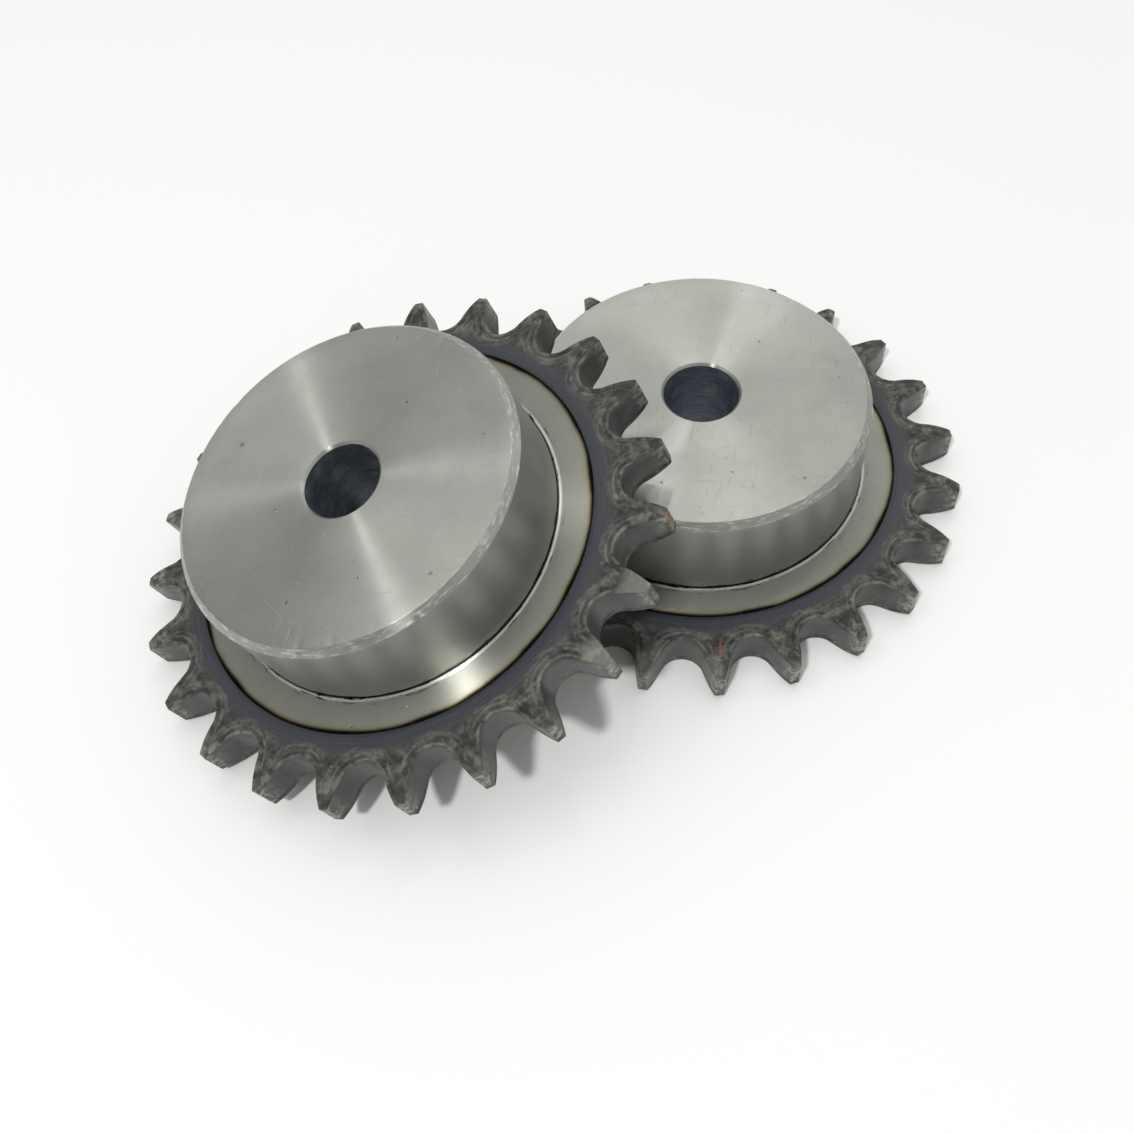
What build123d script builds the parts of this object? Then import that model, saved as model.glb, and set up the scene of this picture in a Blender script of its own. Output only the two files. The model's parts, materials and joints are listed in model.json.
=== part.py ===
from build123d import *
from math import cos, pi, radians, sin, sqrt, tan
import os

# A pair of equal roller-chain sprockets, each a toothed plate welded to a hub on one side.
# The lower one lies flat with its hub up. The leaning one stands on its teeth at -X and lies
# with its underside on the rim of the lower one's hub. Millimetres and degrees, +Z up.
# The origin is on the lower sprocket's axis, at its underside.

# ---- chain and teeth ----
chain_pitch = 12.7              # half-inch roller chain
roller_diameter = 7.92
tooth_count = 23
tip_diameter = 101.0
seat_angle = 136.0              # how far the chain roller's seat wraps, in degrees
flank_radius = 45.0             # the convex side of a tooth, from its seat to its tip
flank_sweep = 28.0              # arc of that side, long enough to pass the tip
relief_radius = 13.0            # rounding of the tooth's sides towards its tip
relief_depth = 0.7              # what that rounding takes off each side at the tip

# ---- plate and hub ----
plate_thickness = 7.3
through_length = 25.5           # underside of the plate to the hub's face
hub_diameter = 63.0
hub_chamfer = 1.2
bore_diameter = 14.0            # pilot bore
bore_edge_break = 0.45
spigot_diameter = 49.0          # the hub's turned end, inside the plate's hole

# ---- welds ----
weld_depth = 2.3                # each weld fills a right-angled V as deep as half its width
foot_weld_mid_radius = 31.9     # middle of the V around the hub's foot
foot_chamfer = 1.9              # hub's foot, cut back for the weld
undercut_radius = 31.15         # turned groove where the hub's wall meets the plate's face
undercut_depth = 0.25           # below the plate's face
undercut_rise = 0.35            # height at which the groove runs out into the hub's wall
undercut_floor_end = 31.6
undercut_lip_radius = 31.85

# ---- how they lie ----
lean_angle = 18.88              # leaning sprocket, raised at its +X side
lean_offset_y = -4.73           # its axis, from the lower one's
rest_gap = 0.3                  # between its underside and the lower hub's rim
lower_tooth_angle = 14.52       # direction of one tooth from the sprocket's own X axis
leaning_tooth_angle = 1.21

# ---- worked out ----
tooth_step = 360 / tooth_count
tip_radius = tip_diameter / 2
pitch_radius = chain_pitch / (2 * sin(pi / tooth_count))
seat_radius = 0.505 * roller_diameter
hub_radius = hub_diameter / 2
bore_radius = bore_diameter / 2
spigot_radius = spigot_diameter / 2
relief_width = sqrt(2 * relief_radius * relief_depth - relief_depth**2)
relief_start = tip_radius - relief_width
foot_weld_start = foot_weld_mid_radius - weld_depth
foot_weld_end = foot_weld_mid_radius + weld_depth


def lowest_tip_height():
    """Height of the leaning sprocket's lowest tooth corner, above its underside's centre."""
    lean = radians(lean_angle)
    angles = [radians(leaning_tooth_angle + i * tooth_step) for i in range(tooth_count)]
    most_negative = min(cos(a) for a in angles)
    return tip_radius * most_negative * sin(lean) + relief_depth * cos(lean)


# Its underside just clears the top edge of the lower hub's chamfer, which is at -X.
leaning_height = -lowest_tip_height()
rim_edge_x = -(hub_radius - hub_chamfer)
height_at_rim = through_length + rest_gap / cos(radians(lean_angle))
leaning_x = rim_edge_x - (height_at_rim - leaning_height) / tan(radians(lean_angle))

lower_base = Plane.XY
leaning_base = Plane(
    origin=(leaning_x, lean_offset_y, leaning_height),
    x_dir=(cos(radians(lean_angle)), 0, sin(radians(lean_angle))),
    z_dir=(-sin(radians(lean_angle)), 0, cos(radians(lean_angle))),
)


def turning_axis(base):
    """The sprocket's axis, for what is turned on a lathe."""
    return Axis(base.origin, base.z_dir)


def turning_section(base):
    """Plane of a turned piece's half section: x is the radius, y the height."""
    return Plane(origin=base.origin, x_dir=base.x_dir, z_dir=-base.y_dir)


def tooth_gap():
    """One gap between two teeth: a roller seat and two convex flanks, open past the tips."""
    half = seat_angle / 2
    reach = seat_radius + flank_radius
    flank_x = pitch_radius - reach * cos(radians(half))
    flank_y = reach * sin(radians(half))
    with BuildSketch() as gap:
        with BuildLine():
            CenterArc((pitch_radius, 0), seat_radius, 180 - half, seat_angle)
            upper = CenterArc((flank_x, flank_y), flank_radius, -half, flank_sweep)
            lower = CenterArc((flank_x, -flank_y), flank_radius, half, -flank_sweep)
            Line(upper @ 1, lower @ 1)
        make_face()
    return gap.sketch


def toothed_plate(base, tooth_angle):
    """Plate with relieved teeth, a hole for the hub's spigot and a V for each weld."""
    back_v_end = spigot_radius + weld_depth
    with BuildPart() as plate:
        with BuildSketch(turning_section(base)):
            with BuildLine():
                Polyline(
                    (relief_start, 0),
                    (back_v_end, 0),
                    (spigot_radius, weld_depth),
                    (spigot_radius, plate_thickness),
                    (foot_weld_start, plate_thickness),
                    (foot_weld_mid_radius, plate_thickness - weld_depth),
                    (foot_weld_end, plate_thickness),
                    (relief_start, plate_thickness),
                )
                RadiusArc(
                    (relief_start, plate_thickness),
                    (tip_radius, plate_thickness - relief_depth),
                    relief_radius,
                )
                Line((tip_radius, plate_thickness - relief_depth), (tip_radius, relief_depth))
                RadiusArc((tip_radius, relief_depth), (relief_start, 0), relief_radius)
            make_face()
        revolve(axis=turning_axis(base))
        with BuildSketch(base):
            with PolarLocations(0, tooth_count, start_angle=tooth_angle + tooth_step / 2):
                add(tooth_gap())
        extrude(amount=plate_thickness, mode=Mode.SUBTRACT)
    return plate.part


def hub(base):
    """Hub with its spigot, pilot bore, rim chamfer and the foot cut back for the weld."""
    foot_z = plate_thickness
    with BuildPart() as boss:
        with BuildSketch(turning_section(base)):
            with BuildLine():
                Polyline(
                    (bore_radius + bore_edge_break, 0),
                    (spigot_radius - weld_depth, 0),
                    (spigot_radius, weld_depth),
                    (spigot_radius, foot_z),
                    (foot_weld_start, foot_z),
                    (foot_weld_start + foot_chamfer, foot_z + foot_chamfer),
                    (hub_radius, through_length - hub_chamfer),
                    (hub_radius - hub_chamfer, through_length),
                    (bore_radius + bore_edge_break, through_length),
                    (bore_radius, through_length - bore_edge_break),
                    (bore_radius, bore_edge_break),
                    close=True,
                )
            make_face()
        revolve(axis=turning_axis(base))
    return boss.part


def foot_weld(base):
    """Ring of weld metal around the hub's foot, turned flush both ways, with the undercut in it."""
    face_z = plate_thickness
    with BuildPart() as ring:
        with BuildSketch(turning_section(base)):
            with BuildLine():
                Polyline(
                    (foot_weld_start, face_z),
                    (foot_weld_mid_radius, face_z - weld_depth),
                    (foot_weld_end, face_z),
                    (undercut_lip_radius, face_z),
                    (undercut_floor_end, face_z - undercut_depth),
                    (undercut_radius, face_z - undercut_depth),
                    (undercut_radius, face_z),
                    (hub_radius, face_z + undercut_rise),
                    (hub_radius, face_z + foot_chamfer),
                    close=True,
                )
            make_face()
        revolve(axis=turning_axis(base))
    return ring.part


def back_weld(base):
    """Ring of weld metal between the spigot and the plate, ground flush with the back."""
    with BuildPart() as ring:
        with BuildSketch(turning_section(base)):
            with BuildLine():
                Polyline(
                    (spigot_radius - weld_depth, 0),
                    (spigot_radius, weld_depth),
                    (spigot_radius + weld_depth, 0),
                    close=True,
                )
            make_face()
        revolve(axis=turning_axis(base))
    return ring.part


os.makedirs("parts", exist_ok=True)
sprockets = {
    "lower": (lower_base, lower_tooth_angle),
    "leaning": (leaning_base, leaning_tooth_angle),
}
for side, (base, tooth_angle) in sprockets.items():
    pieces = {
        "toothed_plate": toothed_plate(base, tooth_angle),
        "hub": hub(base),
        "foot_weld": foot_weld(base),
        "back_weld": back_weld(base),
    }
    for piece_name, piece in pieces.items():
        piece.label = f"{side}_{piece_name}"
        export_step(piece, f"parts/{side}_{piece_name}.step")

print("leaning sprocket's underside centre:", leaning_base.origin)
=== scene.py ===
import json
from math import acos, atan2, cos, hypot, pi, radians, sin, sqrt, tan

import bpy
import numpy as np
from mathutils import Matrix, Vector, noise


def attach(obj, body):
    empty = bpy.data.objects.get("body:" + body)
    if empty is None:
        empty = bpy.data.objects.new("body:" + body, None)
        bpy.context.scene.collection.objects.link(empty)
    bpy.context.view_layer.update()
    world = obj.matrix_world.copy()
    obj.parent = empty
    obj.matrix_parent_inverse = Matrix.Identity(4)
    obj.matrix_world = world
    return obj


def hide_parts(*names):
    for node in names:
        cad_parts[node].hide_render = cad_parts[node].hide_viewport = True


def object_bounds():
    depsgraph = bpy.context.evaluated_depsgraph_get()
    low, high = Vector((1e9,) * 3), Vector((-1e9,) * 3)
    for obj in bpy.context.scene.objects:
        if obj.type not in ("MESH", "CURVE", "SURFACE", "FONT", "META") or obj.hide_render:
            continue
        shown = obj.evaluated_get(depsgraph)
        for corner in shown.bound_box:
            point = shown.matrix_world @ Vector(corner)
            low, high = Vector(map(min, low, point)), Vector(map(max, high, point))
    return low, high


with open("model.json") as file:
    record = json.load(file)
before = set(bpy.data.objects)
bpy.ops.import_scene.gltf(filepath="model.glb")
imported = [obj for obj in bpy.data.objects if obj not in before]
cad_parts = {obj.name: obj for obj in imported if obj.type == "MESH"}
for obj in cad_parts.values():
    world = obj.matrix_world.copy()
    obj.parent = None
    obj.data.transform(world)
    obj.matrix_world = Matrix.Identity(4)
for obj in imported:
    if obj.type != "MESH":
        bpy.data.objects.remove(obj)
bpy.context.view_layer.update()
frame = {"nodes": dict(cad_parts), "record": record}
record = frame["record"]
mounts = {m["name"]: m for m in record["mounts"]}

# Lengths are in millimetres in each sprocket's own frame (underside centre, +Z out of the hub),
# and become metres when a mesh is made.
MM = 0.001

# ---- toothed plate, as in the CAD model ----
TOOTH_COUNT = 23
CHAIN_PITCH = 12.7
ROLLER_DIAMETER = 7.92
TIP_RADIUS = 50.5
SEAT_HALF_ANGLE = radians(68)
FLANK_RADIUS = 45.0
RELIEF_RADIUS = 13.0
RELIEF_DEPTH = 0.7
PLATE = 7.3
STEP = 2 * pi / TOOTH_COUNT
PITCH_RADIUS = CHAIN_PITCH / (2 * sin(pi / TOOTH_COUNT))
SEAT_RADIUS = 0.505 * ROLLER_DIAMETER
RELIEF_START = TIP_RADIUS - sqrt(2 * RELIEF_RADIUS * RELIEF_DEPTH - RELIEF_DEPTH**2)
FLANK_CENTRE = (
    PITCH_RADIUS - (SEAT_RADIUS + FLANK_RADIUS) * cos(SEAT_HALF_ANGLE),
    (SEAT_RADIUS + FLANK_RADIUS) * sin(SEAT_HALF_ANGLE),
)

# ---- hub and welds ----
HUB_RADIUS = 31.5
HUB_CHAMFER = 1.2
HUB_TOP = 25.5
BORE_RADIUS = 7.0
BORE_EDGE = 0.45
SPIGOT_RADIUS = 24.5
WELD_DEPTH = 2.3
FOOT_WELD_MID = 31.9
FOOT_CHAMFER = 1.9
UNDERCUT_RADIUS = 31.15
UNDERCUT_DEPTH = 0.25
UNDERCUT_RISE = 0.35
LIP_FOOT = 31.45
LIP_CREST = 31.80
LIP_END = 32.30
LIP_HEIGHT = 0.12

# ---- rings of the plate's face, by radius ----
TURNED_END = 37.95
TINT_END = 38.8
ROUND_END = 40.0

# Edges that turn more than this are shaded as corners.
SHARP_ANGLE = radians(38)

# ---- lip, groove and ridges beside a tooth gap: height, distance from the gap, width ----
GAP_RIDGES = [(0.15, 0.36, 0.17), (-0.10, 0.82, 0.22), (0.14, 1.35, 0.24), (0.05, 2.2, 0.2)]
EDGE_ROUNDING = 0.22

# ---- colours that several materials share ----
MARK_RED = (0.62, 0.10, 0.07, 1)
MARK_HALF_WIDTH = 0.36
# painted shade in the undercut and at the wall's foot, and scorch over the lip
SCORCH_AND_SHADE = (0.035, 0.03, 0.027, 1)
# painted glints on the chamfer's burrs, and bright scratches
GLINT_AND_SCRATCH = (0.95, 0.95, 0.90, 1)
# wear, with painted highlight on the lip crests and a painted sheen on the relieved tooth faces
WEAR_AND_SHEEN = (0.43, 0.43, 0.36, 1)

# Ramps over a radius or a gap distance span these lengths.
RADIUS_SPAN = 60.0
GAP_SPAN = 3.0


# ------------------------------------------------------------------ meshes
def loop_mesh(name, rings):
    """A closed ring-shaped mesh from points [section][around][xyz] in mm, joined both ways."""
    sections, around, _ = rings.shape
    vertices = rings.reshape(-1, 3) * MM
    s, a = np.meshgrid(np.arange(sections), np.arange(around), indexing="ij")
    s_next, a_next = (s + 1) % sections, (a + 1) % around
    quads = np.stack(
        [s * around + a, s * around + a_next, s_next * around + a_next, s_next * around + a], -1
    ).reshape(-1, 4)
    mesh = bpy.data.meshes.new(name)
    mesh.from_pydata(vertices.tolist(), [], quads.tolist())
    mesh.polygons.foreach_set("use_smooth", [True] * len(mesh.polygons))
    mesh.update()
    mesh.set_sharp_from_angle(angle=SHARP_ANGLE)
    piece = bpy.data.objects.new(name, mesh)
    bpy.context.scene.collection.objects.link(piece)
    return piece


def rounded(corners, arc_points=5):
    """A closed outline of (radius, height, rounding, points to the next corner), with its corners rounded."""
    outline = []
    count = len(corners)
    for i, (x, y, rounding, along) in enumerate(corners):
        here = np.array((x, y))
        back = np.array(corners[i - 1][:2]) - here
        ahead = np.array(corners[(i + 1) % count][:2]) - here
        back_length, ahead_length = np.linalg.norm(back), np.linalg.norm(ahead)
        back, ahead = back / back_length, ahead / ahead_length
        half = acos(float(np.clip(back @ ahead, -1, 1))) / 2
        if rounding:
            reach = rounding / tan(half)
            middle = here + (back + ahead) / np.linalg.norm(back + ahead) * rounding / sin(half)
            start, end = here + back * reach - middle, here + ahead * reach - middle
            for k in range(arc_points):
                t = k / (arc_points - 1)
                d = start * (1 - t) + end * t
                outline.append(middle + d / np.linalg.norm(d) * rounding)
        else:
            outline.append(here)
        for k in range(1, along):
            outline.append(here + ahead * ahead_length * k / along)
    return np.array(outline)


def turned(outline, around):
    """Points [section][around][xyz] of an outline turned about the axis."""
    angle = np.arange(around) * 2 * pi / around
    radius, height = outline[:, :1], outline[:, 1:]
    return np.stack(
        [radius * np.cos(angle), radius * np.sin(angle), height + 0 * angle], -1
    )


def smooth_step(x, low, high):
    t = np.clip((x - low) / (high - low), 0, 1)
    return t * t * (3 - 2 * t)


def field(points, scale, seed):
    """Smooth noise from -1 to 1 at each point."""
    offset = Vector((seed * 7.31, seed * 3.17, seed * 5.71))
    flat = points.reshape(-1, 3)
    values = [noise.noise(Vector(p) * scale + offset) for p in flat.tolist()]
    return np.array(values).reshape(points.shape[:-1])


def pitch_outline():
    """Angle and radius of the tooth outline over one pitch, from a tooth's middle to the next one's."""
    seat_steps, flank_steps, land_steps = 15, 17, 4
    half = []
    for k in range(seat_steps + 1):
        a = SEAT_HALF_ANGLE * k / seat_steps
        half.append((PITCH_RADIUS - SEAT_RADIUS * cos(a), SEAT_RADIUS * sin(a)))
    centre_x, centre_y = FLANK_CENTRE
    centre_distance = hypot(centre_x, centre_y)
    opening = acos(
        (TIP_RADIUS**2 + centre_distance**2 - FLANK_RADIUS**2) / (2 * TIP_RADIUS * centre_distance)
    )
    tip_angle = atan2(centre_y, centre_x) - opening
    start = atan2(half[-1][1] - centre_y, half[-1][0] - centre_x)
    end = atan2(TIP_RADIUS * sin(tip_angle) - centre_y, TIP_RADIUS * cos(tip_angle) - centre_x)
    for k in range(1, flank_steps + 1):
        a = start + (end - start) * k / flank_steps
        half.append((centre_x + FLANK_RADIUS * cos(a), centre_y + FLANK_RADIUS * sin(a)))
    for k in range(1, land_steps + 1):
        a = tip_angle + (STEP / 2 - tip_angle) * k / land_steps
        half.append((TIP_RADIUS * cos(a), TIP_RADIUS * sin(a)))
    angle = np.array([atan2(v, u) for u, v in half])
    radius = np.array([hypot(u, v) for u, v in half])
    return (
        np.concatenate([-angle[:0:-1], angle[:-1]]),
        np.concatenate([radius[:0:-1], radius[:-1]]),
    )


def gap_distance(radius, angle):
    """How far a point of the plate is from the nearest tooth gap; angle is from the gap's middle."""
    u, v = radius * np.cos(angle), np.abs(radius * np.sin(angle))
    to_seat = np.hypot(u - PITCH_RADIUS, v) - SEAT_RADIUS
    to_flank = FLANK_RADIUS - np.hypot(u - FLANK_CENTRE[0], v - FLANK_CENTRE[1])
    on_seat = np.arctan2(v, PITCH_RADIUS - u) < SEAT_HALF_ANGLE
    return np.where(on_seat, to_seat, to_flank)


def side_height(radius, angle, strokes, points, seed, roughness):
    """How far the plate's face stands below (negative) or above its flat: relief, lips and scale."""
    past = np.clip(radius - RELIEF_START, 0, None)
    relief = RELIEF_RADIUS - np.sqrt(RELIEF_RADIUS**2 - past**2)
    gap = gap_distance(radius, angle)
    edge = np.minimum(gap, TIP_RADIUS - radius)
    height = -relief - EDGE_ROUNDING * np.clip(1 - edge / EDGE_ROUNDING, 0, 1) ** 2
    # the cutter's lip around a gap, a groove and two more ridges, which fade along the flanks
    broad = field(points, 0.16, seed)
    brushed = np.stack([strokes, gap * 1.3, 0 * gap], -1)
    uneven = 1 + 1.3 * field(brushed, 0.6, seed + 1)
    fade = 1 - smooth_step(radius, 45.5, 49.5)
    ridges = sum(high * np.exp(-(((gap - at) / wide) ** 2)) for high, at, wide in GAP_RIDGES)
    height += ridges * fade * uneven * (1 + 0.6 * broad)
    rough = smooth_step(radius, 39.5, 43.0)
    fine = field(points, 1.9, seed + 2) + 0.6 * field(points, 4.3, seed + 3)
    return height + roughness * rough * fine


def toothed_plate(name, tooth_angle, seed):
    """The plate with its relieved teeth, lips around the gaps, and the grooves that the welds fill."""
    pitch_angle, pitch_radius = pitch_outline()
    local = np.tile(pitch_angle, TOOTH_COUNT)
    outer = np.tile(pitch_radius, TOOTH_COUNT)
    turn = np.repeat(tooth_angle + (np.arange(TOOTH_COUNT) + 0.5) * STEP, len(pitch_angle))
    around = local + turn

    def placed(radius, height):
        radius = np.broadcast_to(radius, around.shape)
        height = np.broadcast_to(height, around.shape)
        return np.stack([radius * np.cos(around), radius * np.sin(around), height], -1)

    steps = np.hypot(*np.diff(pitch_radius * np.exp(1j * pitch_angle)).view(float).reshape(-1, 2).T)
    length = np.concatenate([[0], np.cumsum(steps)])
    along = np.tile(length, TOOTH_COUNT) + np.repeat(np.arange(TOOTH_COUNT) * 40.0, len(length))
    burr = field(placed(outer, 0.0), 1.1, seed + 5)
    outer = np.minimum(outer + 0.05 * burr, TIP_RADIUS)
    face_start = FOOT_WELD_MID + WELD_DEPTH
    fixed_radii = [face_start, 36.0, TURNED_END, TINT_END, ROUND_END]
    top_rings, bottom_rings, wall_rings = 20, 9, 5

    def towards_edge(rings, start):
        return [
            start + (outer - start) * (1 - (1 - k / rings) ** 1.35) for k in range(1, rings + 1)
        ]

    rings, edges, kinds = [], [], []

    def add(radius, height, kind):
        rings.append(placed(radius, height))
        gap = gap_distance(np.broadcast_to(radius, around.shape), local)
        edges.append(np.clip(gap, 0, None))
        kinds.append(kind)

    for radius in reversed(towards_edge(top_rings, ROUND_END)):
        points = placed(radius, PLATE)
        add(radius, PLATE + side_height(radius, local, along, points, seed, 0.03), "scale")
    for radius in reversed(fixed_radii):
        add(radius, PLATE, "scale" if radius > TURNED_END else "turned")
    add(FOOT_WELD_MID, PLATE - WELD_DEPTH, "turned")
    add(FOOT_WELD_MID - WELD_DEPTH, PLATE, "turned")
    add(SPIGOT_RADIUS, PLATE, "turned")
    add(SPIGOT_RADIUS, WELD_DEPTH, "turned")
    add(SPIGOT_RADIUS + WELD_DEPTH, 0.0, "turned")
    for radius in (32.0, TURNED_END, TINT_END, ROUND_END):
        add(radius, 0.0, "turned" if radius < TURNED_END else "scale")
    for radius in towards_edge(bottom_rings, ROUND_END):
        points = placed(radius, 0.0)
        raised = side_height(radius, local, along, points, seed + 11, 0.016)
        add(radius, -raised.clip(None, 0), "scale")
    low, high = rings[-1][:, 2], rings[0][:, 2]
    for k in range(1, wall_rings + 1):
        t = k / (wall_rings + 1)
        add(outer, low + (high - low) * t, "wall")

    piece = loop_mesh(name, np.array(rings))
    store(piece, "gap_distance", np.array(edges).ravel())
    store(piece, "along_edge", np.tile(along, len(kinds)))
    count = len(around)
    slots = {"scale": 0, "turned": 1, "wall": 2}
    indices = []
    for i, kind in enumerate(kinds):
        indices += [slots[kind]] * count
    last = len(kinds) - 1
    indices[last * count:] = [slots["wall"]] * count
    piece.data.polygons.foreach_set("material_index", indices)
    return piece


def centres(piece):
    """The middle of each polygon, in millimetres."""
    polygons = piece.data.polygons
    flat = np.zeros(len(polygons) * 3)
    polygons.foreach_get("center", flat)
    return flat.reshape(-1, 3) / MM


def store(piece, name, values):
    attribute = piece.data.attributes.new(name, "FLOAT", "POINT")
    attribute.data.foreach_set("value", values.astype(np.float32))


def settle(piece, place):
    """Keep the own-frame point and the turning direction on the mesh, and move it to its place."""
    mesh = piece.data
    own = np.zeros(len(mesh.vertices) * 3)
    mesh.vertices.foreach_get("co", own)
    own = own.reshape(-1, 3) / MM
    around = np.cross((0, 0, 1), own)
    around /= np.linalg.norm(around, axis=1)[:, None]
    turning = around @ np.array(place.to_3x3()).T
    for name, values in (("own_place", own), ("turning", turning)):
        attribute = mesh.attributes.new(name, "FLOAT_VECTOR", "POINT")
        attribute.data.foreach_set("vector", values.astype(np.float32).ravel())
    mesh.transform(place)


def hub(name, dents):
    """The hub: turned outside, pilot bore with broken edges, dented rim, spigot inside the plate."""
    outline = rounded(
        [
            (BORE_RADIUS + BORE_EDGE, HUB_TOP, 0.08, 10),
            (HUB_RADIUS - HUB_CHAMFER, HUB_TOP, 0.16, 4),
            (HUB_RADIUS, HUB_TOP - HUB_CHAMFER, 0.16, 10),
            (HUB_RADIUS, PLATE + FOOT_CHAMFER, 0, 3),
            (FOOT_WELD_MID - WELD_DEPTH, PLATE, 0, 2),
            (SPIGOT_RADIUS, PLATE, 0, 2),
            (SPIGOT_RADIUS, WELD_DEPTH, 0, 1),
            (SPIGOT_RADIUS - WELD_DEPTH, 0, 0, 4),
            (BORE_RADIUS + BORE_EDGE, 0, 0.08, 1),
            (BORE_RADIUS, BORE_EDGE, 0.08, 8),
            (BORE_RADIUS, HUB_TOP - BORE_EDGE, 0.08, 1),
        ]
    )
    around = 420
    rings = turned(outline, around)
    flat = rings.reshape(-1, 3)
    rim = np.array([HUB_RADIUS - HUB_CHAMFER / 2, HUB_TOP - HUB_CHAMFER / 2])
    for angle, across, size, depth in dents:
        a = radians(angle)
        place = rim + across * HUB_CHAMFER * np.array([-0.5, 0.5])
        centre = np.array([place[0] * cos(a), place[0] * sin(a), place[1]])
        away = np.linalg.norm(flat - centre, axis=1)
        inward = np.array([-cos(a), -sin(a), -1.0]) / sqrt(2)
        flat += (depth * np.exp(-((away / size) ** 2)))[:, None] * inward
    flat[:, 2] = np.minimum(flat[:, 2], HUB_TOP)
    piece = loop_mesh(name, flat.reshape(rings.shape))
    middle = centres(piece)
    radius = np.hypot(middle[:, 0], middle[:, 1])
    in_bore = radius < BORE_RADIUS + 0.02
    on_side = (radius > HUB_RADIUS - 0.25) & (middle[:, 2] < HUB_TOP - HUB_CHAMFER)
    piece.data.polygons.foreach_set("material_index", (in_bore + 2 * on_side).astype(int).tolist())
    return piece


def foot_weld(name):
    """The turned ring at the hub's foot: flush with wall and plate, a narrow undercut, a rounded lip."""
    face, start = PLATE, FOOT_WELD_MID - WELD_DEPTH
    outline = rounded(
        [
            (start, face, 0, 1),
            (HUB_RADIUS, face + FOOT_CHAMFER, 0, 4),
            (HUB_RADIUS, face + UNDERCUT_RISE, 0.10, 1),
            (UNDERCUT_RADIUS, face, 0.08, 1),
            (UNDERCUT_RADIUS, face - UNDERCUT_DEPTH, 0.08, 1),
            (LIP_FOOT, face - UNDERCUT_DEPTH, 0.06, 1),
            (LIP_CREST, face + LIP_HEIGHT, 0.16, 1),
            (LIP_END, face, 0.15, 6),
            (FOOT_WELD_MID + WELD_DEPTH, face, 0, 1),
            (FOOT_WELD_MID, face - WELD_DEPTH, 0, 1),
        ]
    )
    piece = loop_mesh(name, turned(outline, 360)[::-1])
    on_wall = centres(piece)[:, 2] > face + UNDERCUT_RISE
    piece.data.polygons.foreach_set("material_index", on_wall.astype(int).tolist())
    return piece


def back_weld(name):
    """The ring of weld on the plate's back, ground flush."""
    outline = rounded(
        [
            (SPIGOT_RADIUS, WELD_DEPTH, 0, 1),
            (SPIGOT_RADIUS + WELD_DEPTH, 0, 0, 6),
            (SPIGOT_RADIUS - WELD_DEPTH, 0, 0, 1),
        ]
    )
    return loop_mesh(name, turned(outline, 240))


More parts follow.
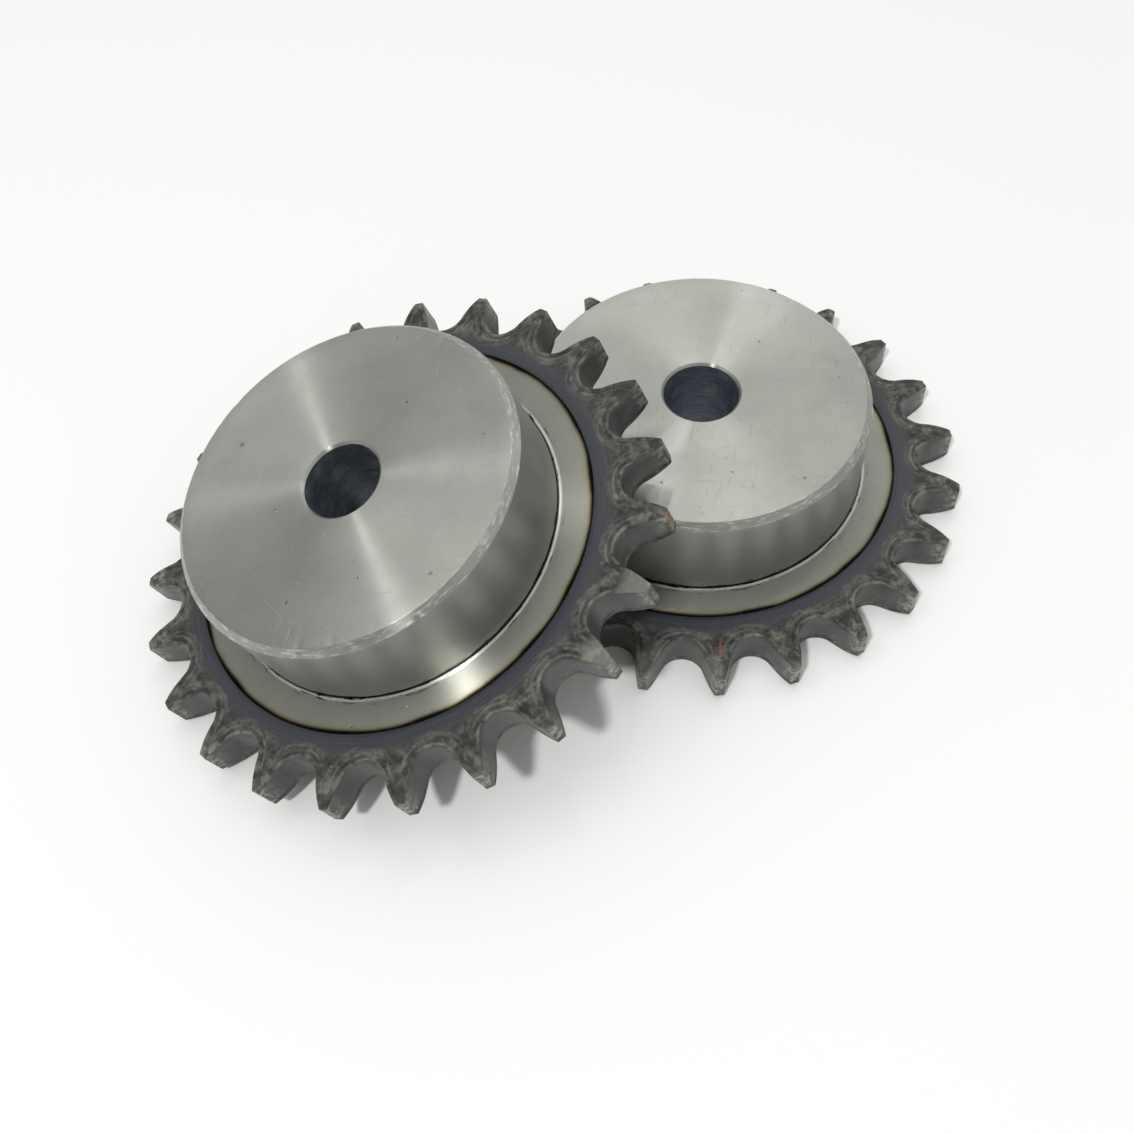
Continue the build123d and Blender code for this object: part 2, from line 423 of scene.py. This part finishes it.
# ------------------------------------------------------------------ materials
class Nodes:
    """Short names for building one material's nodes."""

    def __init__(self, name):
        self.material = bpy.data.materials.new(name)
        self.material.use_nodes = True
        self.tree = self.material.node_tree
        self.shader = self.tree.nodes["Principled BSDF"]

    def new(self, kind, **settings):
        node = self.tree.nodes.new(kind)
        for key, value in settings.items():
            setattr(node, key, value)
        return node

    def put(self, socket, value):
        if isinstance(value, bpy.types.NodeSocket):
            self.tree.links.new(value, socket)
        else:
            socket.default_value = value

    def math(self, operation, a, b=0.0, c=0.0, clamp=False):
        node = self.new("ShaderNodeMath", operation=operation, use_clamp=clamp)
        for socket, value in zip(node.inputs, (a, b, c)):
            self.put(socket, value)
        return node.outputs[0]

    def vector(self, operation, a, b=(0, 0, 0)):
        node = self.new("ShaderNodeVectorMath", operation=operation)
        self.put(node.inputs[0], a)
        self.put(node.inputs[1], b)
        single = operation in ("LENGTH", "DISTANCE", "DOT_PRODUCT")
        return node.outputs["Value"] if single else node.outputs[0]

    def ramp(self, factor, stops, interpolation="LINEAR"):
        node = self.new("ShaderNodeValToRGB")
        node.color_ramp.interpolation = interpolation
        elements = node.color_ramp.elements
        while len(elements) < len(stops):
            elements.new(0.5)
        for element, (position, colour) in zip(elements, stops):
            element.position = position
            element.color = (*colour[:3], 1) if isinstance(colour, tuple) else (colour,) * 3 + (1,)
        self.put(node.inputs[0], factor)
        return node.outputs[0]

    def ramp_mm(self, length, stops, span=RADIUS_SPAN):
        """A ramp whose stops are lengths in millimetres, up to span."""
        scaled = [(place / span, value) for place, value in stops]
        return self.ramp(self.math("DIVIDE", length, span), scaled)

    def noise(self, where, scale, detail=3.0, roughness=0.5):
        node = self.new("ShaderNodeTexNoise")
        self.put(node.inputs["Vector"], where)
        node.inputs["Scale"].default_value = scale
        node.inputs["Detail"].default_value = detail
        node.inputs["Roughness"].default_value = roughness
        return node.outputs[0]

    def noise_colour(self, where, scale):
        node = self.new("ShaderNodeTexNoise")
        self.put(node.inputs["Vector"], where)
        node.inputs["Scale"].default_value = scale
        return node.outputs["Color"]

    def mix(self, factor, a, b, blend="MIX"):
        node = self.new("ShaderNodeMix", data_type="RGBA", blend_type=blend)
        self.put(node.inputs[0], factor)
        self.put(node.inputs[6], a)
        self.put(node.inputs[7], b)
        return node.outputs[2]

    def bump(self, height, strength, distance, below=None):
        node = self.new("ShaderNodeBump")
        node.inputs["Strength"].default_value = strength
        node.inputs["Distance"].default_value = distance
        self.put(node.inputs["Height"], height)
        if below is not None:
            self.put(node.inputs["Normal"], below)
        return node.outputs[0]

    def place(self):
        """The point in the sprocket's own frame, in millimetres, and its distance from the axis."""
        point = self.new("ShaderNodeAttribute", attribute_name="own_place").outputs["Vector"]
        flat = self.vector("MULTIPLY", point, (1, 1, 0))
        return point, self.vector("LENGTH", flat)

    def height(self, point):
        """How far a point is above the plate's underside, in millimetres."""
        node = self.new("ShaderNodeSeparateXYZ")
        self.put(node.inputs[0], point)
        return node.outputs[2]

    def lathe_direction(self):
        """World direction of the turning marks: around the sprocket's axis."""
        around = self.new("ShaderNodeAttribute", attribute_name="turning").outputs["Vector"]
        turn = self.new(
            "ShaderNodeVectorTransform", vector_type="VECTOR", convert_from="OBJECT", convert_to="WORLD"
        )
        self.put(turn.inputs[0], around)
        return turn.outputs[0]

    def stroke(self, point, ends, width, strength, colour):
        """Mix in a red pen stroke between two points, given in millimetres."""
        start, end = Vector(ends[0]), Vector(ends[1])
        line = end - start
        offset = self.vector("SUBTRACT", point, start)
        dot = self.vector("DOT_PRODUCT", offset, line / line.length_squared)
        along = self.math("ADD", dot, 0.0, clamp=True)
        step = self.new("ShaderNodeVectorMath", operation="SCALE")
        step.inputs[0].default_value = line
        self.put(step.inputs["Scale"], along)
        away = self.vector("DISTANCE", offset, step.outputs[0])
        broken = self.math("MULTIPLY_ADD", self.noise(point, 2.0, 3.0), 0.8, -0.4)
        mask = self.ramp(self.math("ADD", away, broken), [(width * 0.5, strength), (width, 0.0)])
        return self.mix(mask, colour, MARK_RED)

    def polar(self, point, radius, around_scale, across_scale):
        """Coordinates that stretch a texture along the turning marks, with no seam."""
        unit = self.vector("NORMALIZE", self.vector("MULTIPLY", point, (1, 1, 0)))
        flat = self.vector("MULTIPLY", unit, (around_scale, around_scale, 0))
        lift = self.new("ShaderNodeCombineXYZ")
        across = self.math("MULTIPLY", self.math("SUBTRACT", radius, self.height(point)), across_scale)
        self.put(lift.inputs[2], across)
        return self.vector("ADD", flat, lift.outputs[0])


def scratches(n, point, angle, density):
    """A mask of a few fine straight scratches lying at one angle."""
    turn = n.new("ShaderNodeVectorRotate", rotation_type="Z_AXIS")
    n.put(turn.inputs["Vector"], point)
    turn.inputs["Angle"].default_value = radians(angle)
    thin = n.noise(n.vector("MULTIPLY", turn.outputs[0], (0.16, 7.0, 1.0)), 1.0, 1.0)
    return n.ramp(thin, [(0.80 - density, 0.0), (0.84 - density, 1.0)])


def specks(n, point, spacing, size, share):
    """A mask of sparse round specks: one at most in each cell, and only in a share of the cells."""
    cells = n.new("ShaderNodeTexVoronoi")
    ragged = n.vector("ADD", point, n.vector("MULTIPLY", n.noise_colour(point, 3.0), (0.35,) * 3))
    n.put(cells.inputs["Vector"], ragged)
    cells.inputs["Scale"].default_value = 1 / spacing
    dot = n.ramp(n.math("DIVIDE", cells.outputs["Distance"], size / spacing), [(0.6, 1.0), (1.0, 0.0)])
    pick = n.new("ShaderNodeSeparateXYZ")
    n.put(pick.inputs[0], cells.outputs["Color"])
    return n.math("MULTIPLY", dot, n.math("LESS_THAN", pick.outputs[0], share))


def turned_steel(name, base, roughness, anisotropy=1.0, tinted=False, pits=0.0, scratched=0.0):
    """Bright steel from the lathe: fine rings, radial gleams, small pits and faint stains."""
    n = Nodes(name)
    point, radius = n.place()
    rings = n.noise(n.polar(point, radius, 2.0, 3.4), 1.0, 2.0)
    fine_rings = n.noise(n.polar(point, radius, 6.0, 11.0), 1.0, 1.0)
    stain = n.noise(point, 0.07, 4.0)
    stained = tuple(c * 0.88 for c in base[:3]) + (1,)
    colour = n.mix(n.ramp(stain, [(0.35, 0.0), (0.65, 1.0)]), base, stained)
    colour = n.mix(0.35, colour, n.ramp(rings, [(0.3, 0.86), (0.7, 1.0)]), "MULTIPLY")
    smudge = n.ramp(n.noise(point, 0.22, 5.0, 0.6), [(0.56, 0.0), (0.68, 0.35)])
    colour = n.mix(smudge, colour, tuple(c * 0.8 for c in base[:3]) + (1,))
    above = n.height(point)
    if tinted:
        colour = tint(n, point, radius, colour)
        # painted shade in the undercut, scorch spilt over the lip here and there, and a painted highlight
        # along the lip
        upper = n.ramp(n.math("DIVIDE", above, PLATE), [(0.86, 0.0), (0.93, 1.0)])
        burnt = n.noise(n.polar(point, radius, 9.0, 2.0), 1.0, 4.0, 0.6)
        foot = n.ramp_mm(radius, [(31.45, 0.95), (31.6, 0.0)])
        spill = n.ramp_mm(radius, [(32.2, 1.0), (33.2, 0.0)])
        patchy = n.math("MULTIPLY", spill, n.ramp(burnt, [(0.56, 0.0), (0.64, 1.0)]))
        lip_highlight = n.ramp_mm(radius, [(31.5, 0.0), (31.7, 0.9), (32.05, 0.9), (32.3, 0.0)])
        lip_highlight = n.math("MULTIPLY", upper, lip_highlight)
        scorch_and_shade = n.math("MULTIPLY", upper, n.math("MAXIMUM", foot, patchy))
        colour = n.mix(lip_highlight, colour, (0.98, 0.97, 0.90, 1))
        colour = n.mix(scorch_and_shade, colour, SCORCH_AND_SHADE)
    elif not scratched:
        # painted shade along the wall's foot just above the undercut, its edge ragged with scorch, more in
        # some places
        burnt = n.noise(n.polar(point, radius, 5.0, 1.0), 1.0, 4.0, 0.6)
        near = n.math("MULTIPLY_ADD", burnt, -3.0, n.math("SUBTRACT", above, PLATE - 1.15))
        foot = n.ramp(near, [(0.0, 0.9), (0.25, 0.0)])
        colour = n.mix(foot, colour, SCORCH_AND_SHADE)
    else:
        # the chamfer gets a painted shade, a little darker than the face, and painted glints on its burrs
        burrs = n.noise(n.polar(point, radius, 14.0, 1.5), 1.0, 4.0, 0.6)
        burr_glints = n.ramp(burrs, [(0.52, 0.0), (0.62, 0.6)])
        rim = n.ramp_mm(radius, [(30.1, 0.0), (30.35, 1.0)])
        colour = n.mix(n.math("MULTIPLY", rim, 0.18), colour, (0.30, 0.30, 0.275, 1))
        colour = n.mix(n.math("MULTIPLY", rim, burr_glints), colour, GLINT_AND_SCRATCH)
    speck = n.noise(n.polar(point, radius, 26.0, 1.4), 1.0, 3.0, 0.6)
    speck_mask = n.ramp(speck, [(0.71 - 0.03 * pits, 0.0), (0.75 - 0.03 * pits, 1.0)])
    for spacing, size, share in ((3.1, 0.30, 0.10), (7.0, 0.55, 0.12)) if scratched else ():
        speck_mask = n.math("MAXIMUM", speck_mask, specks(n, point, spacing, size, share))
    colour = n.mix(n.math("MULTIPLY", speck_mask, 0.5), colour, (0.10, 0.09, 0.07, 1))
    height = n.math("SUBTRACT", 1.0, speck_mask)
    for angle in (25, 71, 128) if scratched else ():
        mask = scratches(n, point, angle, scratched)
        colour = n.mix(n.math("MULTIPLY", mask, 0.30), colour, GLINT_AND_SCRATCH)
        height = n.math("SUBTRACT", height, mask)
    n.put(n.shader.inputs["Base Color"], colour)
    n.put(n.shader.inputs["Roughness"], n.math("MULTIPLY_ADD", rings, 0.10, roughness - 0.05))
    n.shader.inputs["Metallic"].default_value = 1.0
    n.shader.inputs["Anisotropic"].default_value = anisotropy
    n.shader.inputs["Anisotropic Rotation"].default_value = 0.25
    n.put(n.shader.inputs["Tangent"], n.lathe_direction())
    grooves = n.bump(fine_rings, 0.25, 0.00002)
    n.put(n.shader.inputs["Normal"], n.bump(height, 0.6, 0.00005, grooves))
    return n.material


TINT_STOPS = [
    (36.0, (1.00, 1.00, 0.98)),
    (36.8, (0.96, 0.94, 0.82)),
    (37.15, (0.70, 0.62, 0.44)),
    (37.4, (0.17, 0.13, 0.10)),
    (37.6, (0.010, 0.009, 0.010)),
    (38.2, (0.011, 0.011, 0.013)),
    (38.6, (0.024, 0.027, 0.042)),
    (39.7, (0.025, 0.028, 0.038)),
    (41.6, (0.040, 0.041, 0.035)),
]


def tint(n, point, radius, steel):
    """The colours that hardening leaves: straw, brown, a black line, blue-black, then grey scale."""
    wander = n.noise(point, 0.11, 2.0)
    shifted = n.math("ADD", radius, n.math("MULTIPLY_ADD", wander, 1.1, -0.55))
    low, high = TINT_STOPS[0][0], TINT_STOPS[-1][0]
    factor = n.math("DIVIDE", n.math("SUBTRACT", shifted, low), high - low, clamp=True)
    colours = n.ramp(factor, [((r - low) / (high - low), c) for r, c in TINT_STOPS], "B_SPLINE")
    return n.mix(1.0, steel, colours, "MULTIPLY")


def hardened_scale(name, mark, sheen_side):
    """The hardened rim: heat tint, then dark scale with worn, burred edges and brushed lips, painted
    highlight on the lip crests and a painted sheen on the relieved tooth faces towards one side.
    """
    n = Nodes(name)
    point, radius = n.place()
    colour = tint(n, point, radius, (1, 1, 1, 1))
    turning = n.noise(n.polar(point, radius, 1.5, 3.0), 1.0, 3.0)
    turned_rings = n.ramp(turning, [(0.35, (0.35, 0.36, 0.45)), (0.65, (1.15, 1.15, 1.15))])
    colour = n.mix(0.6, colour, turned_rings, "MULTIPLY")
    upper = n.ramp(n.math("DIVIDE", n.height(point), PLATE), [(0.3, 0.25), (0.8, 1.0)])
    cloud = n.noise(point, 0.45, 5.0, 0.66)
    olive = n.ramp(cloud, [(0.38, (0.10, 0.11, 0.13)), (0.5, (0.9, 0.91, 0.88)), (0.63, (3.5, 3.45, 2.8))])
    on_teeth = n.ramp_mm(radius, [(40.3, 0.0), (43.0, 1.0)])
    colour = n.mix(on_teeth, colour, n.mix(1.0, colour, olive, "MULTIPLY"))
    # strokes that run along the edge of each tooth gap
    gap = n.new("ShaderNodeAttribute", attribute_name="gap_distance").outputs["Fac"]
    along = n.new("ShaderNodeAttribute", attribute_name="along_edge").outputs["Fac"]
    lane = n.new("ShaderNodeCombineXYZ")
    n.put(lane.inputs[0], n.math("MULTIPLY", along, 0.30))
    n.put(lane.inputs[1], n.math("MULTIPLY", gap, 1.2))
    brushed = n.noise(lane.outputs[0], 1.0, 2.0, 0.5)
    grain = n.noise(point, 0.8, 4.0, 0.6)
    lips = [(0.0, 0.75), (0.48, 0.6), (0.81, 0.1), (1.08, 0.1)]
    lips += [(1.41, 0.6), (1.86, 0.2), (2.34, 0.3), (2.85, 0.0)]
    # lighter bands on the lip and ridges beside each gap: wear, and painted highlight on their crests
    edge = n.ramp_mm(gap, lips, GAP_SPAN)
    strokes = n.math("MULTIPLY_ADD", grain, 0.5, n.math("MULTIPLY", brushed, 0.5))
    marks = n.ramp(strokes, [(0.42, 0.0), (0.62, 1.0)])
    around_gap = n.ramp_mm(radius, [(44.0, 1.0), (47.0, 0.3)])
    worn = n.math("MULTIPLY", n.math("MULTIPLY", edge, marks), n.math("MULTIPLY", around_gap, upper))
    # the relieved faces of the teeth are rubbed brighter, tooth by tooth, and carry a painted highlight on
    # the teeth towards one side
    outwards = n.vector("NORMALIZE", n.vector("MULTIPLY", point, (1, 1, 0)))
    towards = radians(sheen_side)
    facing = n.vector("DOT_PRODUCT", outwards, (cos(towards), sin(towards), 0))
    sheen_facing = n.ramp(facing, [(0.945, 0.0), (0.985, 1.0)])
    rubbed_and_lit = n.ramp(n.noise(point, 0.16, 2.0), [(0.42, 0.1), (0.60, 0.8)])
    rubbed_and_lit = n.math("MAXIMUM", rubbed_and_lit, sheen_facing)
    relief = n.ramp_mm(radius, [(45.0, 0.0), (47.2, 1.0)])
    flat = n.math("MAXIMUM", n.ramp(grain, [(0.45, 0.1), (0.58, 0.95)]), n.math("MULTIPLY", sheen_facing, 0.6))
    rub_and_sheen = n.math("MULTIPLY", n.math("MULTIPLY", relief, rubbed_and_lit), n.math("MULTIPLY", flat, upper))
    worn = n.math("MAXIMUM", n.math("MULTIPLY", worn, 0.7), n.math("MULTIPLY", rub_and_sheen, 0.7))
    # worn holds the wear together with the painted highlights on lip crests and relieved faces
    colour = n.mix(worn, colour, WEAR_AND_SHEEN)
    colour = n.stroke(point, mark[:2], MARK_HALF_WIDTH, mark[2], colour)
    n.put(n.shader.inputs["Base Color"], colour)
    n.put(n.shader.inputs["Metallic"], n.math("MULTIPLY", worn, 0.7))
    n.put(n.shader.inputs["Roughness"], n.math("MULTIPLY_ADD", grain, 0.25, 0.33))
    n.shader.inputs["IOR"].default_value = 1.62
    rough = n.noise(point, 1.1, 7.0, 0.72)
    depth = n.math("MULTIPLY", n.math("SUBTRACT", rough, 0.5), n.math("MULTIPLY_ADD", on_teeth, 0.8, 0.2))
    n.put(n.shader.inputs["Normal"], n.bump(depth, 1.0, 0.0005))
    return n.material


def cut_wall(name, mark):
    """The cut faces between the teeth: smoother, dark grey, with faint cutter lines and worn corners."""
    n = Nodes(name)
    point, radius = n.place()
    stretched = n.vector("MULTIPLY", point, (1, 1, 0.12))
    lines = n.noise(stretched, 2.2, 3.0)
    cloud = n.noise(point, 0.22, 4.0, 0.6)
    colour = n.ramp(cloud, [(0.35, (0.045, 0.047, 0.050)), (0.65, (0.085, 0.088, 0.078))])
    tip = n.ramp_mm(radius, [(47.8, 0.0), (50.2, 1.0)])
    chip = n.ramp(n.noise(point, 0.9, 5.0, 0.7), [(0.46, 0.0), (0.60, 1.0)])
    colour = n.mix(n.math("MULTIPLY", tip, chip), colour, (0.30, 0.30, 0.25, 1))
    colour = n.stroke(point, mark[:2], MARK_HALF_WIDTH, mark[2], colour)
    n.put(n.shader.inputs["Base Color"], colour)
    n.put(n.shader.inputs["Roughness"], n.math("MULTIPLY_ADD", lines, 0.2, 0.28))
    n.shader.inputs["IOR"].default_value = 1.5
    n.put(n.shader.inputs["Normal"], n.bump(lines, 0.25, 0.00005))
    return n.material


def drilled_bore(name):
    """The drilled bore: dark blue-grey, with uneven rings from the drill and a few bright rubs."""
    n = Nodes(name)
    point, radius = n.place()
    rings = n.noise(n.polar(point, radius, 2.5, 2.0), 1.0, 4.0, 0.6)
    patches = n.noise(point, 0.35, 5.0, 0.65)
    colour = n.ramp(rings, [(0.3, (0.34, 0.38, 0.45)), (0.7, (0.62, 0.66, 0.71))])
    colour = n.mix(n.ramp(patches, [(0.54, 0.0), (0.68, 0.6)]), colour, (0.80, 0.80, 0.76, 1))
    n.put(n.shader.inputs["Base Color"], colour)
    n.put(n.shader.inputs["Roughness"], n.math("MULTIPLY_ADD", patches, 0.5, 0.15))
    n.shader.inputs["Metallic"].default_value = 1.0
    n.put(n.shader.inputs["Normal"], n.bump(n.math("ADD", rings, patches), 0.5, 0.0001))
    return n.material


# ------------------------------------------------------------------ the two sprockets
def own_frame(mount, depth):
    """Matrix of a sprocket's own frame, from a mount on its axis that is depth above its underside."""
    axis = Vector(mounts[mount]["axis"]).normalized()
    across = Vector((axis.z, 0, -axis.x)).normalized()
    origin = Vector(mounts[mount]["pos_m"]) - axis * depth * MM
    rows = Matrix((across, axis.cross(across), axis)).transposed()
    return Matrix.Translation(origin) @ rows.to_4x4()


def tooth_angle(node, place):
    """Direction of a tooth in the sprocket's own frame, from the tips of the CAD node."""
    back = place.inverted()
    points = np.array([(back @ v.co)[:] for v in frame["nodes"][node].data.vertices]) / MM
    tips = points[np.hypot(points[:, 0], points[:, 1]) > TIP_RADIUS - 0.02]
    angles = np.arctan2(tips[:, 1], tips[:, 0])
    return float(np.angle(np.exp(1j * TOOTH_COUNT * angles).mean())) / TOOTH_COUNT


def dents(seed, count):
    """Small knocks around the hub's rim: angle, place across the chamfer, size and depth."""
    generator = np.random.default_rng(seed)
    return [
        (
            generator.uniform(0, 360),
            generator.uniform(-1, 1),
            generator.uniform(0.25, 0.7),
            generator.uniform(0.03, 0.12),
        )
        for _ in range(count)
    ]


bright = turned_steel("turned_steel", (0.56, 0.56, 0.515, 1), 0.31, scratched=0.05)
side_steel = turned_steel("turned_side", (0.37, 0.375, 0.345, 1), 0.40, anisotropy=0.8, pits=0.5)
ring_steel = turned_steel("turned_ring", (0.50, 0.50, 0.455, 1), 0.37, tinted=True, pits=0.6)
bore_steel = drilled_bore("bore_steel")

# Knocks around each hub's rim.
DENT_COUNT = 22

# Place, seed of the unevenness, pen stroke (its ends and strength) and the side, in degrees, whose relieved
# tooth faces get a painted highlight.
SPROCKETS = {
    "lower": (Matrix.Identity(4), 3, ((-14.5, -40.3, 7.3), (-15.9, -43.1, 7.3), 0.25), 235),
    "leaning": (
        own_frame("leaning_bore", HUB_TOP / 2),
        40,
        ((43.6, -25.5, 6.9), (43.5, -25.9, 3.4), 0.8),
        306,
    ),
}
HUBS, RIMS = [], []
for side, (place, seed, mark, sheen_side) in SPROCKETS.items():
    phase = tooth_angle(f"{side}_toothed_plate", place)
    scale_steel = hardened_scale(f"{side}_scale", mark, sheen_side)
    wall_steel = cut_wall(f"{side}_cut_wall", mark)
    pieces = {
        "toothed_plate": toothed_plate(f"{side}_plate_teeth", phase, seed),
        "hub": hub(f"{side}_turned_hub", dents(seed, DENT_COUNT)),
        "foot_weld": foot_weld(f"{side}_foot_ring"),
        "back_weld": back_weld(f"{side}_back_ring"),
    }
    finishes = {
        "toothed_plate": (scale_steel, ring_steel, wall_steel),
        "hub": (bright, bore_steel, side_steel),
        "foot_weld": (ring_steel, side_steel),
        "back_weld": (ring_steel,),
    }
    HUBS.append(pieces["hub"])
    RIMS.extend([pieces["toothed_plate"], pieces["foot_weld"]])
    for part, piece in pieces.items():
        node = f"{side}_{part}"
        for material in finishes[part]:
            piece.data.materials.append(material)
        settle(piece, place)
        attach(piece, f"{side}_sprocket")
        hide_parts(node)


# ------------------------------------------------------------------ floor, lights and camera
# Half the floor's side, in metres.
FLOOR_HALF = 6.0

# The camera: place in mm, azimuth and elevation of its view, roll, and lens and sensor width in mm.
CAMERA_PLACE = (-79.5, -149.5, 208.9)
CAMERA_AZIMUTH, CAMERA_ELEVATION, CAMERA_ROLL = 71.22, -54.74, -4.08
LENS_LENGTH, SENSOR_WIDTH = 42.2, 36.0


def floor():
    half = FLOOR_HALF
    mesh = bpy.data.meshes.new("floor")
    corners = [(-half, -half, 0), (half, -half, 0), (half, half, 0), (-half, half, 0)]
    mesh.from_pydata(corners, [], [(0, 1, 2, 3)])
    plane = bpy.data.objects.new("floor", mesh)
    bpy.context.scene.collection.objects.link(plane)
    n = Nodes("pale_floor")
    n.shader.inputs["Base Color"].default_value = (0.90, 0.90, 0.885, 1)
    n.shader.inputs["Roughness"].default_value = 0.6
    mesh.materials.append(n.material)


def direction(azimuth, elevation):
    a, e = radians(azimuth), radians(elevation)
    return Vector((cos(e) * cos(a), cos(e) * sin(a), sin(e)))


def soft_light(name, azimuth, elevation, half_width, radiance, colour=(1, 1, 1), distance=2.0):
    """A round light of one brightness, half_width degrees from middle to edge as the object sees it."""
    light = bpy.data.lights.new(name, "AREA")
    light.shape = "DISK"
    light.size = 2 * distance * tan(radians(half_width))
    light.energy = radiance * pi * pi * (light.size / 2) ** 2
    light.color = colour
    lamp = bpy.data.objects.new(name, light)
    towards = direction(azimuth, elevation)
    lamp.location = centre + towards * distance
    lamp.rotation_euler = towards.to_track_quat("Z", "Y").to_euler()
    lamp.visible_camera = False
    bpy.context.scene.collection.objects.link(lamp)
    return lamp


def room(lobes, base):
    """The room's dim light, with broad bright patches: (azimuth, elevation, spread, brightness)."""
    world = bpy.data.worlds.new("room")
    bpy.context.scene.world = world
    world.use_nodes = True
    tree = world.node_tree
    background = tree.nodes["Background"]
    coordinates = tree.nodes.new("ShaderNodeTexCoord").outputs["Generated"]
    total = None
    for azimuth, elevation, spread, brightness in lobes:
        dot = tree.nodes.new("ShaderNodeVectorMath")
        dot.operation = "DOT_PRODUCT"
        tree.links.new(coordinates, dot.inputs[0])
        dot.inputs[1].default_value = direction(azimuth, elevation)
        sharpness = 1 / radians(spread) ** 2
        fall = tree.nodes.new("ShaderNodeMath")
        fall.operation = "MULTIPLY_ADD"
        tree.links.new(dot.outputs["Value"], fall.inputs[0])
        fall.inputs[1].default_value = sharpness
        fall.inputs[2].default_value = -sharpness
        power = tree.nodes.new("ShaderNodeMath")
        power.operation = "EXPONENT"
        tree.links.new(fall.outputs[0], power.inputs[0])
        scaled = tree.nodes.new("ShaderNodeMath")
        scaled.operation = "MULTIPLY_ADD"
        tree.links.new(power.outputs[0], scaled.inputs[0])
        scaled.inputs[1].default_value = brightness
        if total is None:
            scaled.inputs[2].default_value = base
        else:
            tree.links.new(total, scaled.inputs[2])
        total = scaled.outputs[0]
    tree.links.new(total, background.inputs["Strength"])
    background.inputs["Color"].default_value = (0.98, 1.0, 0.985, 1)


def camera():
    """The photograph's viewpoint: above and in front, tilted down, with a slight roll."""
    position = Vector(CAMERA_PLACE) * MM
    forward = direction(CAMERA_AZIMUTH, CAMERA_ELEVATION)
    level = forward.cross(Vector((0, 0, 1))).normalized()
    roll = radians(CAMERA_ROLL)
    right = level * cos(roll) + level.cross(forward) * sin(roll)
    rows = Matrix((right, right.cross(forward), -forward)).transposed()
    lens = bpy.data.cameras.new("camera")
    lens.lens = LENS_LENGTH
    lens.sensor_width = SENSOR_WIDTH
    lens.clip_start = 0.01
    view = bpy.data.objects.new("camera", lens)
    view.matrix_world = Matrix.Translation(position) @ rows.to_4x4()
    bpy.context.scene.collection.objects.link(view)
    bpy.context.scene.camera = view


low_corner, high_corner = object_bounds()
centre = (Vector(low_corner) + Vector(high_corner)) / 2
floor()
room(
    [
        (71, 39, 22, 0.70),
        (148, 60, 13.4, 1.23),
        (20, 40, 30, 0.44),
        (-60, 35, 30, 0.41),
        (-175, 30, 30, 0.35),
        (0, 90, 20, 0.46),
    ],
    0.01,
)
soft_light("panel_left", 83.6, 69.5, 4.5, 3.6)
soft_light("panel_right", 47.0, 63.8, 7.5, 1.5)
soft_light("lamp_far", 165.5, 59.4, 1.7, 9.9)
soft_light("key", -139, 54, 2.6, 260.0).visible_glossy = False
# The rims and the hubs each get a gleam of their own, which lights nothing else.
for share, gleaming, azimuth, half_width, strength in (
    ("rims", RIMS, -139, 2.6, 196.0),
    ("hubs", HUBS, -149, 1.7, 115.0),
):
    gleam = soft_light(f"key_on_{share}", azimuth, 54, half_width, strength)
    gleam.visible_diffuse = False
    receivers = bpy.data.collections.new(share)
    for piece in gleaming:
        receivers.objects.link(piece)
    gleam.light_linking.receiver_collection = receivers
camera()
bpy.context.scene.view_settings.view_transform = "Standard"
